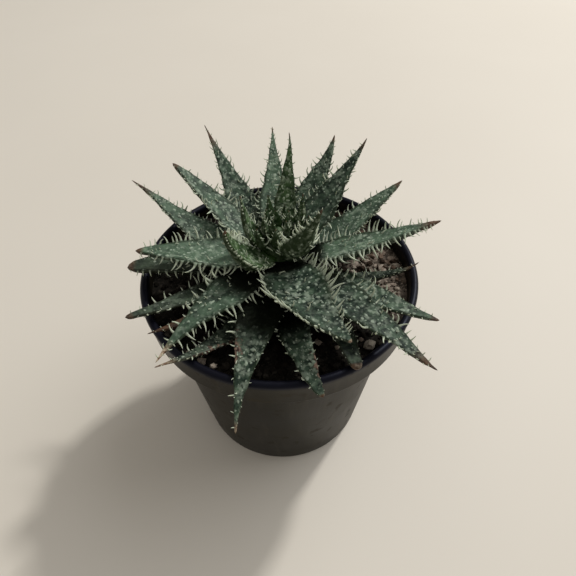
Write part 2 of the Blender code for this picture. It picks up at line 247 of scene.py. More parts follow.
# %% The table of leaves
Leaf = namedtuple("Leaf", "name azimuth height rise_root rise_tip swing length width tip taper roll",
                  defaults=(0,))
LEAVES = [
    Leaf("outer_leaf_1", -142, 68.6, -2, 23, 0, 39.5, 8.5, 0.9, 1.4),
    Leaf("outer_leaf_2", -116, 66.0, 4, 25, -29, 46.0, 8.5, 0.9, 1.5),
    Leaf("outer_leaf_3", -47.9, 66.2, 20, 3.8, -39, 39.2, 10.0, 5.0, 1.2),
    Leaf("outer_leaf_4", -10, 66.0, 3, 24.9, 7, 37.6, 6.5, 0.7, 1.2),
    Leaf("outer_leaf_5", 101, 66.1, 14, 33, 0, 30.0, 9.5, 0.7, 1.4),
    Leaf("outer_leaf_6", -175.5, 73.2, 16, -6, -1, 39.5, 10.7, 2.4, 0.5),
    Leaf("outer_leaf_7", -154, 71.2, 5, 7, 2, 41.5, 8.5, 2.4, 1.2),
    Leaf("middle_leaf_1", 33, 68.6, 18, 24, -6, 44.8, 11.8, 0.8, 0.9),
    Leaf("middle_leaf_2", 146.5, 67.6, 7, 33.4, 5, 52.4, 13.5, 0.7, 1.4),
    Leaf("middle_leaf_3", -86, 68.8, 19, -6.6, 16, 41.9, 10.4, 2.2, 0.85),
    Leaf("middle_leaf_4", -34.7, 68.8, 27, -4.5, 1, 44.8, 13.0, 1.6, 1.1),
    Leaf("middle_leaf_5", 117, 69.1, 29, 43.5, 6, 49.0, 12.7, 0.7, 1.5),
    Leaf("middle_leaf_6", 64.0, 70.2, 36, 41.2, -10, 41.9, 13.2, 0.7, 1.1),
    Leaf("middle_leaf_7", 92.4, 75.0, 25, 27.2, -4, 43.6, 10.4, 0.7, 1.4),
    Leaf("middle_leaf_8", -132, 75.6, 19, -15.5, 3, 43.5, 12.1, 0.8, 1.35),
    Leaf("middle_leaf_9", -104.5, 71.5, 31, -43, 2, 50.0, 13.0, 1.4, 1.4),
    Leaf("middle_leaf_10", -51, 72.6, 32, -25.2, 4, 52.0, 12.8, 0.7, 1.05),
    Leaf("middle_leaf_11", 139.7, 76.0, 26, 31.4, 8, 38.2, 9.8, 0.7, 0.75, 8),
    Leaf("middle_leaf_12", -1.4, 75.3, 18, 14, 3, 42.9, 11.9, 0.7, 1.0, -14),
    Leaf("middle_leaf_13", -170, 77.6, 18, -1.8, -14, 36.5, 12.5, 0.8, 0.75),
    Leaf("middle_leaf_14", -79.2, 78.4, 20, -0.5, 25, 38.3, 16.4, 0.7, 0.85),
    Leaf("middle_leaf_15", 40.7, 76.6, 36, 37, 1, 39.5, 11.5, 0.7, 1.3),
    Leaf("inner_leaf_1", -130, 79.8, 20, 80.8, -44, 21.3, 10.4, 0.7, 1.0, -11),
    Leaf("inner_leaf_2", 78.3, 78.2, 46, 51, 4, 32.0, 6.7, 0.7, 1.3),
    Leaf("inner_leaf_3", -58.6, 80.6, 62, 66.7, 46, 22.9, 9.0, 0.7, 1.1, -36),
    Leaf("inner_leaf_4", 171, 79.0, 62, 86, -12, 19.3, 5.0, 0.7, 1.4),
    Leaf("inner_leaf_5", 107, 81.1, 60, 90, 8, 13.1, 5.0, 0.7, 1.4),
    Leaf("inner_leaf_6", 34, 80.6, 58, 84, -1, 15.1, 5.0, 0.7, 1.4),
]
STEM = [(5.6, 46.0), (5.9, 50.0), (5.9, 70.0), (5.2, 76.0), (4.2, 80.0), (2.6, 83.5), (1.2, 86.5)]
print("leaves:", len(LEAVES), "longest:", max(leaf.length for leaf in LEAVES), "mm")

# %% [markdown]
# ## What sets one leaf apart from the next
#
# No two leaves are alike. The young ones in the heart are green with a comb of pale teeth, the
# upper ones at the front and the sides have the longest teeth, and the oldest have dried, blunt or
# broken ends. Those habits are kept apart from the measures, as a few words for each leaf that
# has any, and a word that a leaf lacks has its usual value.
#
# - `tooth` is the usual length of the teeth where they are longest, and `pitch` the way between
#   two of them, both in millimetres. `stout` thickens them and `bend` tells how far they curl.
# - `stand` is how far they stand up from the face rather than out from the edge. `hang` is how
#   far those of one edge hang down instead: the right edge or, below 0, the left one.
# - `favour` is 1 where only the right edge has its full teeth and -1 where only the left one has.
# - `dry` is the share of the length that has gone brown, from dark at `husk` 0 to straw at 1, and
#   `curl` is how far the tip has bent aside, in millimetres.
# - `pale` runs from the darkest leaves at 0 to the palest above 1, and `freckled` tells how many
#   of the pale spots a leaf has.
# - `shade` is how far out from its root a leaf is painted dark, as painted shade where the
#   others keep it out of the light.
# - `scab` is where along it an old wound has dried brown, with a minus for the left edge.
#
# Right and left are as seen from the tip.

# %% Habits of single leaves
HABITS = {
    "outer_leaf_1": {"dry": 0.40, "tooth": 1.4, "pale": 0.0, "husk": 0.0, "shade": 0.7},
    "outer_leaf_2": {"dry": 0.12, "tooth": 2.6, "pale": 0.3, "husk": 0.6, "shade": 0.45, "scab": 0.66},
    "outer_leaf_3": {"dry": 0.035, "tooth": 1.2, "pale": 0.0, "husk": 0.2, "shade": 0.7, "freckled": 0.3},
    "outer_leaf_4": {"dry": 0.12, "tooth": 1.8, "pale": 0.0, "curl": 1.0},
    "outer_leaf_5": {"tooth": 2.2, "pitch": 1.5, "pale": 0.7},
    "outer_leaf_6": {"dry": 0.06, "tooth": 3.2, "pale": 0.8, "stand": 0.6, "hang": 1.2, "shade": 0.55,
                     "freckled": 0.4},
    "outer_leaf_7": {"dry": 0.05, "tooth": 2.9, "pitch": 2.4, "pale": 0.6, "shade": 0.55, "freckled": 0.4},
    "middle_leaf_1": {"dry": 0.08, "tooth": 2.8, "pitch": 1.5, "pale": 1.0, "shade": 0.1},
    "middle_leaf_2": {"dry": 0.14, "tooth": 2.8, "pitch": 1.5, "pale": 0.9, "curl": 0.8},
    "middle_leaf_3": {"dry": 0.02, "tooth": 2.4, "pitch": 2.3, "favour": -0.8, "pale": 0.3, "husk": 0.3,
                      "shade": 0.66, "scab": 0.80},
    "middle_leaf_4": {"dry": 0.05, "tooth": 2.6, "pale": 0.4},
    "middle_leaf_5": {"dry": 0.16, "tooth": 2.8, "pitch": 1.5, "pale": 0.5},
    "middle_leaf_6": {"tooth": 2.8, "pitch": 1.5, "pale": 0.6},
    "middle_leaf_7": {"tooth": 2.4, "pitch": 1.6, "pale": 1.0},
    "middle_leaf_8": {"dry": 0.12, "tooth": 3.7, "pale": 0.6, "curl": 0.8, "husk": 1.0, "stand": 0.5,
                      "hang": 1.1, "shade": 0.45, "freckled": 0.65},
    "middle_leaf_9": {"dry": 0.05, "tooth": 2.8, "pitch": 2.8, "favour": -1.0, "pale": 0.15, "husk": 0.7,
                      "stand": 0.1, "shade": 0.66, "scab": -0.60},
    "middle_leaf_10": {"dry": 0.12, "tooth": 3.4, "pale": 0.1, "curl": 1.2, "shade": 0.42},
    "middle_leaf_11": {"tooth": 3.0, "pitch": 1.4, "pale": 0.6},
    "middle_leaf_12": {"dry": 0.14, "tooth": 3.6, "pitch": 1.2, "pale": 1.0, "stand": 0.9, "hang": -1.5},
    "middle_leaf_13": {"dry": 0.06, "tooth": 3.8, "pitch": 1.6, "pale": 1.2, "stand": 0.8, "hang": 1.6,
                       "freckled": 0.7},
    "middle_leaf_14": {"dry": 0.02, "tooth": 4.4, "pitch": 1.3, "bend": 0.5, "pale": 0.2, "husk": 0.5,
                       "stand": 1.1, "shade": 0.2},
    "middle_leaf_15": {"dry": 0.10, "tooth": 2.8, "pitch": 1.5, "pale": 0.3},
    "inner_leaf_1": {"tooth": 3.4, "pitch": 0.7, "favour": -0.9, "stout": 1.4, "pale": 0.3, "stand": 0.9,
                     "shade": 0.05},
    "inner_leaf_2": {"tooth": 1.8, "pale": 0.0},
    "inner_leaf_3": {"tooth": 3.2, "pitch": 1.1, "stout": 1.2, "pale": 0.1, "stand": 0.7, "shade": 0.05},
    "inner_leaf_4": {"tooth": 2.0, "pitch": 1.3, "pale": 0.4},
    "inner_leaf_5": {"tooth": 2.0, "pitch": 1.3, "pale": 0.4},
    "inner_leaf_6": {"tooth": 2.0, "pitch": 1.3, "pale": 0.3},
}
USUAL = {"tooth": 2.2, "pitch": 1.8, "stout": 1.0, "bend": 1.0, "stand": 0.4, "hang": 0.0,
         "favour": 0.0, "dry": 0.06, "husk": 0.1, "curl": 0.4, "pale": 0.3, "freckled": 1.0,
         "shade": 0.25, "scab": 0.0}


def habit(leaf, word):
    return HABITS.get(leaf.name, {}).get(word, USUAL[word])


# %% [markdown]
# ## The line a leaf follows
#
# A blade starts at the stem and turns evenly from its rise at the root to its rise at the tip.
# Walking along it in two hundred short steps gives its middle line. A real leaf also wavers a
# little, and its thin tip dries and bends aside, so a slow noise and a curl near the end are added.

# %% Walk down the middle of a leaf
LINE_STEPS = 200
ROOT_GAP = 0.3 * MM
ROOT_EDGE = 0.4 * MM
SUNK_ROOT = 0.8 * MM
WAVER = 0.5 * MM
CURL_FROM = 0.84


def stem_radius(height):
    for (r0, z0), (r1, z1) in zip(STEM, STEM[1:]):
        if height <= z1:
            return r0 + (r1 - r0) * max(0.0, (height - z0) / (z1 - z0))
    return STEM[-1][0]


def leaf_directions(leaf, t):
    """Unit vectors along the blade, across it and out of its upper face at the share t."""
    rise = math.radians(leaf.rise_root + (leaf.rise_tip - leaf.rise_root) * t)
    turn = math.radians(leaf.azimuth + leaf.swing * t)
    along = Vector((math.cos(rise) * math.cos(turn), math.cos(rise) * math.sin(turn), math.sin(rise)))
    level = Vector((-math.sin(turn), math.cos(turn), 0.0))
    across = Quaternion(along, math.radians(leaf.roll)) @ level
    return along, across, along.cross(across)


def leaf_line(leaf):
    """Points down the middle of a blade, from a little inside the stem to the tip."""
    turn = math.radians(leaf.azimuth)
    inward = ROOT_EDGE + leaf.width * MM / 4 * abs(math.sin(math.radians(leaf.roll)))
    root = stem_radius(leaf.height) * MM + ROOT_GAP + inward * abs(math.sin(math.radians(leaf.rise_root)))
    here = Vector((root * math.cos(turn), root * math.sin(turn), leaf.height * MM))
    here -= leaf_directions(leaf, 0.0)[0] * SUNK_ROOT
    stride = (leaf.length * MM + SUNK_ROOT) / LINE_STEPS
    line = [here]
    for step in range(LINE_STEPS):
        here = here + leaf_directions(leaf, (step + 0.5) / LINE_STEPS)[0] * stride
        line.append(here)
    return line


def leaf_middle(leaf, line, t):
    """The middle of the blade at the share t, with its waver and its curled tip."""
    spot = min(t, 1.0) * LINE_STEPS
    low = min(int(spot), LINE_STEPS - 1)
    place = line[low].lerp(line[low + 1], spot - low)
    _, across, up = leaf_directions(leaf, t)
    aside = noise.noise(Vector((leaf.azimuth, 3.0 * t, 0.0))) * WAVER * t
    lift = noise.noise(Vector((leaf.azimuth, 3.0 * t, 9.0))) * WAVER * t
    bend = max(0.0, (t - CURL_FROM) / (1 - CURL_FROM)) ** 2 * habit(leaf, "curl") * MM
    return place + across * (aside + bend) + up * (lift + abs(bend) * 0.5)


lines = {leaf.name: leaf_line(leaf) for leaf in LEAVES}
print("middle lines walked:", len(lines))

# %% [markdown]
# ## The outline and the section
#
# The blade widens for the first third and then narrows in a drawn-out taper. A few leaves end in
# a blunt round, the others in a thread-thin point. Cut across, a leaf is slightly hollow above
# and keeled below, with round edges. One formula gives the point of the skin at any share of the
# length and any turn round the section, which later also roots the teeth and the spots. A low
# swell and a finer grain of noise are part of it: real aloe skin is full and uneven over its
# water cells and shrivels where it dries, and faces without that look pressed in a mould.

# %% The skin of a leaf
WIDEST_AT = 0.38
ROOT_WIDTH = 0.55
EDGE = 0.65 * MM
KEEL = 0.31
FULL_KEEL_AT = 0.3
CHANNEL = 0.10
BLUNT_TIP = 2.0
BLUNT_END = 2.6
BLUNT_SHARE = 0.65
POINT_SHARE = 0.3
UNEVEN_EDGE = 0.07
UNEVEN_SPAN = 2.4
SWELL = 0.34 * MM
SWELL_SPAN = 2.8 * MM
GRAIN = 0.09 * MM
SHRIVEL = 4.0
GRAIN_SPAN = 1.1 * MM


def leaf_width(leaf, t):
    """Width of the blade in metres."""
    if t < WIDEST_AT:
        share = ROOT_WIDTH + (1 - ROOT_WIDTH) * math.sin(math.pi / 2 * t / WIDEST_AT)
        return leaf.width * MM * share
    fall = (1 - min(1.0, (t - WIDEST_AT) / (1 - WIDEST_AT))) ** leaf.taper
    if leaf.tip < BLUNT_TIP:
        tip = POINT_SHARE * leaf.tip
        return (tip + (leaf.width - tip) * fall) * MM
    tip = BLUNT_SHARE * leaf.tip
    width = (tip + (leaf.width - tip) * fall) * MM
    rounding = max(0.0, 1 - (1 - t) * leaf.length / BLUNT_END)
    return width * math.sqrt(max(0.0, 1 - rounding * rounding))


def section_point(leaf, t, turn):
    """How far across and up from the middle line the skin lies, at a turn round the section."""
    u = math.cos(turn)
    lift = math.sin(turn)
    side = 0.0 if u > 0 else 40.0
    uneven = noise.noise(Vector((leaf.azimuth + side, t * leaf.length / UNEVEN_SPAN, 0.0)))
    half = leaf_width(leaf, t) / 2 * (1 + UNEVEN_EDGE * abs(u) * uneven)
    edge = min(EDGE, 0.8 * half) * abs(lift) ** 0.6
    if lift >= 0:
        return u * half, edge - CHANNEL * 2 * half * (1 - u * u)
    swell = 0.5 + 0.5 * min(1.0, t / FULL_KEEL_AT)
    depth = KEEL * 2 * half * swell
    return u * half, -edge - depth * (1 - abs(u) ** 2.2)


def skin_point(leaf, t, turn):
    _, across, up = leaf_directions(leaf, t)
    x, y = section_point(leaf, t, turn)
    out = across * x + up * y
    place = leaf_middle(leaf, lines[leaf.name], t) + out
    shrunk = 1 + SHRIVEL * min(1.0, max(0.0, 1 - (1 - t) / habit(leaf, "dry")))
    lump = noise.noise(place / SWELL_SPAN) * SWELL + noise.noise(place / GRAIN_SPAN) * GRAIN * shrunk
    return place + out.normalized() * (lump * min(1.0, out.length / (2 * MM)))


def skin_normal(leaf, t, turn):
    """Outward normal of the skin, from three points close together."""
    here = skin_point(leaf, t, turn)
    onward = skin_point(leaf, t + 0.01, turn) - here
    round_it = skin_point(leaf, t, turn + 0.05) - here
    return round_it.cross(onward).normalized()


print("widest blade:", round(max(leaf_width(leaf, WIDEST_AT) for leaf in LEAVES) / MM, 1), "mm")

# %% [markdown]
# ## Collecting points and faces
#
# A leaf is one mesh with a blade, teeth and spots in it. Each of them adds its points and faces
# to the same lists, and stores five values at each point for the finish: how far along the leaf
# it is, whether it lies on the under side, how pale and raised it is, how far out on a tooth, and
# how far aside from the middle towards an edge. Building the mesh once from lists is much quicker
# than joining hundreds of small objects.

# %% The lists of one piece
class Skin:
    """Points and faces of one piece, with the values that its finish reads."""

    def __init__(self):
        self.points = []
        self.faces = []
        self.values = {"along": [], "under": [], "raised": [], "tooth": [], "aside": []}

    def point(self, place, along=0.0, under=0.0, raised=0.0, tooth=0.0, aside=0.0):
        self.points.append(place)
        for name, value in zip(self.values, (along, under, raised, tooth, aside)):
            self.values[name].append(value)
        return len(self.points) - 1

    def strip(self, near, far):
        """Faces between two rings."""
        for i in range(len(near)):
            j = (i + 1) % len(near)
            self.faces.append((near[i], near[j], far[j], far[i]))

    def fan(self, ring, middle):
        """Faces from a ring to one point."""
        for i in range(len(ring)):
            self.faces.append((ring[i], ring[(i + 1) % len(ring)], middle))

    def build(self, name, constants):
        """The object, with normals that point outwards and the values stored at its points."""
        mesh = bpy.data.meshes.new(name)
        mesh.from_pydata(self.points, [], self.faces)
        shape = bmesh.new()
        shape.from_mesh(mesh)
        bmesh.ops.recalc_face_normals(shape, faces=shape.faces)
        shape.to_mesh(mesh)
        shape.free()
        constants = {key: [value] * len(self.points) for key, value in constants}
        for key, stored in {**self.values, **constants}.items():
            mesh.attributes.new(key, "FLOAT", "POINT").data.foreach_set("value", stored)
        mesh.shade_smooth()
        made = bpy.data.objects.new(name, mesh)
        bpy.context.scene.collection.objects.link(made)
        return made


# %% [markdown]
# ## The blade
#
# Rings of points round the section, one every half millimetre, are joined into a closed skin. A
# subdivided box could be sculpted to this shape too, but would not follow the measured middle
# line as exactly. The very edge is a little paler than the skin beside it, so its points are
# stored as slightly raised.

# %% Add a blade
ROUND_SECTION = 24
RING_EVERY = 0.55
END_RINGS = 7
EDGE_PALENESS = 0.1


def ring_shares(leaf):
    """Shares of the length with a ring, closer together where a blunt end rounds off."""
    count = round(leaf.length / RING_EVERY)
    if leaf.tip < BLUNT_TIP:
        return [step / count for step in range(count)]
    end = BLUNT_END / leaf.length
    shares = [(1 - end) * step / count for step in range(count)]
    return shares + [1 - end * math.cos(math.pi / 2 * step / END_RINGS) for step in range(END_RINGS)]


def add_blade(skin, leaf):
    rings = []
    for t in ring_shares(leaf):
        ring = []
        for step in range(ROUND_SECTION):
            turn = math.tau * step / ROUND_SECTION
            under = min(1.0, max(0.0, 0.5 - 2.5 * math.sin(turn)))
            margin = EDGE_PALENESS if step % (ROUND_SECTION // 2) == 0 else 0.0
            ring.append(skin.point(skin_point(leaf, t, turn), along=t, under=under, raised=margin,
                                   aside=math.cos(turn)))
        if rings:
            skin.strip(rings[-1], ring)
        rings.append(ring)
    middle = leaf_middle(leaf, lines[leaf.name], 0.0)
    skin.fan(rings[0], skin.point(middle, along=0.0, under=1.0))
    tip = leaf_middle(leaf, lines[leaf.name], 1.0)
    skin.fan(rings[-1], skin.point(tip, along=1.0, under=0.5))


# %% [markdown]
# ## The teeth
#
# An aloe's teeth aren't hard thorns: they are soft, pale and slightly translucent, broad where
# they leave the edge and drawn out to a curved point. Each one is a five-sided tube along an
# arc, started a little below the skin so that it grows out of it. Cones would be quicker to make,
# but straight even cones are what makes a model of such a plant look false.

# %% Add a tooth
TOOTH_SIDES = 5
TOOTH_STEPS = 7
SUNK_TOOTH = 0.25 * MM
TOOTH_THICKNESS = 0.245 * MM
USUAL_TOOTH = 2.4 * MM


def tooth_width(share):
    """Half width along a tooth as a share of its thickness: a flared foot, then a long taper."""
    return 0.95 * (1 - share) ** 0.6 + 0.4 * math.exp(-share * 9) + 0.06


def arc_point(root, out, hook, angle, radius):
    """A place on an arc that starts towards out and bends to hook, and the way it heads there."""
    place = root + out * (math.sin(angle) * radius) + hook * ((1 - math.cos(angle)) * radius)
    return place, out * math.cos(angle) + hook * math.sin(angle)


def add_tooth(skin, root, out, hook, turning, grain, length, t, stout=1.0):
    """A tooth that leaves its root towards out and turns to hook on an arc."""
    thickness = stout * TOOTH_THICKNESS * math.sqrt(length / USUAL_TOOTH)
    hook = (hook - out * hook.dot(out)).normalized()
    root = root - out * SUNK_TOOTH
    last = None
    for step in range(TOOTH_STEPS):
        share = step / TOOTH_STEPS
        centre, heading = arc_point(root, out, hook, turning * share, length / turning)
        wide = (grain - heading * grain.dot(heading)).normalized()
        thin = heading.cross(wide)
        radius = thickness * tooth_width(share)
        stretch = 1 + 0.6 * math.exp(-share * 7)
        ring = []
        for side in range(TOOTH_SIDES):
            turn = math.tau * side / TOOTH_SIDES
            offset = wide * (math.cos(turn) * radius * stretch) + thin * (math.sin(turn) * radius)
            ring.append(skin.point(centre + offset, along=t, tooth=min(1.0, 0.15 + 2.2 * share)))
        if last:
            skin.strip(last, ring)
        else:
            skin.fan(ring, skin.point(root, along=t))
        last = ring
    end = arc_point(root, out, hook, turning, length / turning)[0]
    skin.fan(last, skin.point(end, along=t, tooth=1.0))


# %% [markdown]
# Along each edge the teeth stand at uneven steps, with small ones between the large, and point
# outwards and mostly a little towards the tip. Some more stand on the faces, half of them below
# to either side of the keel, leaning towards the tip. Every leaf draws from its own seeded dice,
# so the plant comes out the same each time.

# %% Add the teeth of one leaf
SMALL_TEETH = 0.3
SMALL_TOOTH_SIZE = 0.5
LESS_FAVOURED = 0.6
HANGING_HOOK = -0.7
FACE_TEETH_PER_MM = 0.6
FACE_TOOTH_SIZE = 0.6


def tooth_size(t):
    """Teeth are longest a third of the way out, shorter at the root and shortest at the tip."""
    return math.sin(math.pi * (0.25 + 0.65 * t))


def draw_hook(draw, along, across, upwards=1.0):
    """Teeth bend upwards towards the light, and a little at random."""
    hook = Vector((0.0, 0.0, draw.uniform(0.3, 1.0) * upwards))
    return hook + along * draw.uniform(-0.6, 0.8) + across * draw.uniform(-0.5, 0.5)


def add_edge_teeth(skin, leaf, draw):
    for side in (1, -1):
        at = draw.uniform(2.0, 3.0)
        while at < leaf.length - 1.0:
            t = at / leaf.length
            along, across, up = leaf_directions(leaf, t)
            small = draw.random() < SMALL_TEETH
            length = habit(leaf, "tooth") * MM * tooth_size(t) * draw.uniform(0.85, 1.35)
            length *= SMALL_TOOTH_SIZE if small else 1.0
            length *= 1 - LESS_FAVOURED * max(0.0, -side * habit(leaf, "favour"))
            hang = max(0.0, habit(leaf, "hang") * side)
            stand = habit(leaf, "stand") - hang + draw.uniform(-0.35, 0.35)
            out = across * side + along * draw.uniform(-0.1, 0.5) + up * stand
            root = skin_point(leaf, t, 0.0 if side > 0 else math.pi)
            hook = draw_hook(draw, along, across, HANGING_HOOK if hang else 1.0)
            bend = draw.uniform(0.5, 1.9) * habit(leaf, "bend")
            add_tooth(skin, root, out.normalized(), hook, bend, along, length, t, habit(leaf, "stout"))
            at += habit(leaf, "pitch") * draw.uniform(0.6, 1.5)


def add_face_teeth(skin, leaf, draw):
    for number in range(round(leaf.length * FACE_TEETH_PER_MM)):
        t = draw.uniform(0.12, 0.9)
        below = -draw.uniform(0.9, 2.2) if number % 4 else 0.0
        turn = below if number % 2 else draw.uniform(0.5, 2.6)
        along, across, _ = leaf_directions(leaf, t)
        out = (skin_normal(leaf, t, turn) * 0.8 + along * draw.uniform(0.3, 0.9)).normalized()
        length = FACE_TOOTH_SIZE * habit(leaf, "tooth") * MM * tooth_size(t) * draw.uniform(0.6, 1.2)
        add_tooth(skin, skin_point(leaf, t, turn), out, draw_hook(draw, along, across),
                  draw.uniform(0.3, 1.2), along, length, t)


# %% [markdown]
# ## The raised spots
#
# The faces carry pale raised spots up to about a millimetre across, more of them above than
# below. They could be painted with a texture of cells alone, but they stand proud of the skin and
# catch the light, so the larger ones are real low domes. The finest flecks between them are left
# to the finish.

# %% Add the spots of one leaf
SPOT_SIDES = 7
SPOT_SPACING = 1.9
SPOT_RAGGEDNESS = 0.9
SPOT_RINGS = ((1.6, -0.15, 0.0), (1.0, 0.06, 0.8), (0.55, 0.22, 1.0))
SPOTTED_ABOVE = 0.85
SPOTTED_BELOW = 0.6


def add_spot(skin, leaf, t, turn, radius):
    centre = skin_point(leaf, t, turn)
    normal = skin_normal(leaf, t, turn)
    along = leaf_directions(leaf, t)[0]
    wide = (along - normal * along.dot(normal)).normalized()
    thin = normal.cross(wide)
    ragged = [1 + SPOT_RAGGEDNESS * noise.noise(centre / MM * 3 + Vector((side, 0, 0)))
              for side in range(SPOT_SIDES)]
    rings = []
    for out, lift, raised in SPOT_RINGS:
        ring = []
        for side in range(SPOT_SIDES):
            angle = math.tau * side / SPOT_SIDES
            offset = (wide * (1.3 * math.cos(angle)) + thin * math.sin(angle)) * ragged[side]
            place = centre + offset * (radius * out) + normal * (radius * lift)
            ring.append(skin.point(place, along=t, raised=raised, under=1.0 if turn < 0 else 0.0))
        if rings:
            skin.strip(rings[-1], ring)
        rings.append(ring)
    skin.fan(rings[0], skin.point(centre - normal * (radius * 0.5), along=t))
    skin.fan(rings[-1], skin.point(centre + normal * (radius * 0.27), along=t, raised=1.0))


def add_spots(skin, leaf, draw):
    at = 2.5
    while at < leaf.length * 0.93:
        t = at / leaf.length
        half = leaf_width(leaf, t) / MM / 2
        columns = max(1, round(2 * half / SPOT_SPACING))
        for face, spotted in ((1, SPOTTED_ABOVE), (-1, SPOTTED_BELOW)):
            for column in range(columns):
                u = ((column + 0.5 + draw.uniform(-0.35, 0.35)) / columns * 2 - 1) * 0.92
                if draw.random() > spotted * habit(leaf, "freckled"):
                    continue
                jitter = draw.uniform(-0.4, 0.4) * SPOT_SPACING / leaf.length
                radius = (0.16 + 0.32 * draw.random() ** 1.6) * MM * min(1.0, 0.45 + half / 5)
                add_spot(skin, leaf, t + jitter, face * math.acos(u), radius)
        at += SPOT_SPACING


# %% [markdown]
# ## The finish of the leaves
#
# The skin is a dark grey green in soft patches, bluish and lighter above. Below it is browner, its
# own tone, and darker as painted shade; the sides of the blade take that colour, which gives each
# leaf a dark rim of painted shade. Painting every leaf would do the same, but a network that
# reads the values stored on the mesh does it once for all of them.

# %% Mix the colours of living skin
def skin_patches(skin):
    """0 to 1 in soft patches of two sizes."""
    broad = skin.fade(skin.noise(4.5 * MM, 5.0), 0.36, 0.66)
    blotches = skin.fade(skin.noise(1.9 * MM, 2.0), 0.38, 0.62)
    return skin.plus(skin.times(broad, 0.5), skin.times(blotches, 0.5))


def skin_colour(skin, patches, dark, light, shaded_under_side):
    tone = skin.plus(skin.times(skin.stored("pale"), 0.6), -0.28)
    above = skin.mix(skin.plus(tone, skin.times(patches, 0.85)), dark, light)
    # The sides of the blade get the under side's colour too: a dark rim of painted shade.
    rim = skin.fade(skin.unsigned(skin.stored("aside")), 0.70, 0.90)
    lower = skin.maths("MAXIMUM", skin.stored("under"), skin.times(rim, 0.85))
    return skin.mix(lower, above, shaded_under_side)


# %% [markdown]
# Three things make the skin pale in places: round flecks, which are weaker below, a powdery bloom
# that is broken up by fine noise, and the raised spots. Flecks and bloom gather in clusters with
# barer skin between them; spread evenly they would look like printed cloth.

# %% Place the flecks, the bloom and the spots
def pale_marks(skin, flecks, fine):
    """How much of the pale colour shows."""
    shown = skin.times(flecks, skin.fade(fine, 0.42, 0.62))
    shown = skin.times(shown, skin.plus(skin.times(skin.stored("under"), -0.4), 0.7))
    bloom = skin.fade(skin.noise(1.6 * MM, 8.0), 0.46, 0.66)
    shown = skin.maths("MAXIMUM", shown, skin.times(bloom, 0.40))
    clusters = skin.fade(skin.noise(6.0 * MM, 2.0), 0.40, 0.62)
    shown = skin.times(shown, skin.plus(skin.times(clusters, 0.75), 0.25))
    shown = skin.times(shown, skin.stored("freckled"))
    return skin.maths("MAXIMUM", shown, skin.times(skin.stored("raised"), skin.plus(fine, 0.05)))


# %% [markdown]
# Dead tissue is brown. A scab lies along one edge only, so its outline depends on the way from
# the scab's place and on how far aside a point is, with noise to make it ragged. The dried end
# starts where `dry` says, and is dark or straw-coloured by `husk`.

# %% Place the scabs and the dried ends
def scab_share(skin):
    where = skin.stored("scab")
    edge = skin.maths("SIGN", where, 0.0)
    off_scab = skin.unsigned(skin.minus(skin.stored("along"), skin.unsigned(where)))
    inward = skin.times(skin.times(edge, skin.stored("aside")), -0.22)
    ragged = skin.plus(skin.plus(off_scab, inward), skin.times(skin.noise(1.6 * MM, 6.0), 0.5))
    return skin.times(skin.fade(ragged, 0.17, 0.09), skin.unsigned(edge))


def husk_share(skin):
    dry = skin.stored("dry")
    past = skin.maths("DIVIDE", skin.minus(skin.stored("along"), skin.minus(1.0, dry)), dry)
    return skin.fade(past, -0.3, 0.5)


def husk_colour(skin, patches, coarse):
    dark_husk = skin.mix(patches, (0.022, 0.013, 0.008), (0.10, 0.055, 0.032))
    straw = skin.mix(coarse, (0.15, 0.085, 0.05), (0.50, 0.41, 0.30))
    return skin.mix(skin.stored("husk"), dark_husk, straw)


# %% [markdown]
# The layers go on in the order in which they cover each other, with the cream teeth last. Near
# the root the skin is painted dark and its sheen is cut: painted shade where the other leaves keep
# the light off. Light that enters the teeth and the skin a little way and comes out again keeps
# them soft. The young leaves in the heart use the same network with fresher greens.

# %% Make the leaf finishes
TOOTH_CREAM = (0.58, 0.64, 0.50)
SCAB_BROWNS = ((0.03, 0.018, 0.014), (0.24, 0.165, 0.125))


def leaf_finish(name, dark, light, shaded_under_side, root, fleck):
    skin = Finish(name, 0.5)
    patches = skin_patches(skin)
    fine = skin.noise(0.9 * MM, 3.0)
    coarse = skin.fade(fine, 0.38, 0.62)
    flecks = skin.fade(skin.cells(1.15 * MM), 0.42, 0.15)
    # Painted shade near the root: 1 up to about two thirds of the stored shade share, fading to 0 at it.
    painted_root_shade = skin.fade(skin.maths("DIVIDE", skin.stored("along"), skin.stored("shade")), 1.0, 0.65)
    colour = skin_colour(skin, patches, dark, light, shaded_under_side)
    colour = skin.mix(pale_marks(skin, flecks, fine), colour, fleck)
    colour = skin.mix(scab_share(skin), colour, skin.mix(coarse, *SCAB_BROWNS))
    colour = skin.mix(skin.times(painted_root_shade, 0.98), colour, root)
    colour = skin.mix(husk_share(skin), colour, husk_colour(skin, patches, coarse))
    skin.colour(skin.mix(skin.times(skin.stored("tooth"), 0.95), colour, TOOTH_CREAM))
    skin.roughness(skin.plus(skin.times(fine, 0.3), 0.4))
    skin.relief(skin.plus(skin.times(flecks, 0.5), fine), 0.14 * MM)
    skin.fill(skin.shader.inputs["Specular IOR Level"], skin.minus(0.14, skin.times(painted_root_shade, 0.11)))
    skin.shader.inputs["Subsurface Weight"].default_value = 0.1
    skin.shader.inputs["Subsurface Radius"].default_value = (1.0, 1.1, 0.6)
    skin.shader.inputs["Subsurface Scale"].default_value = 0.5 * MM
    return skin.material


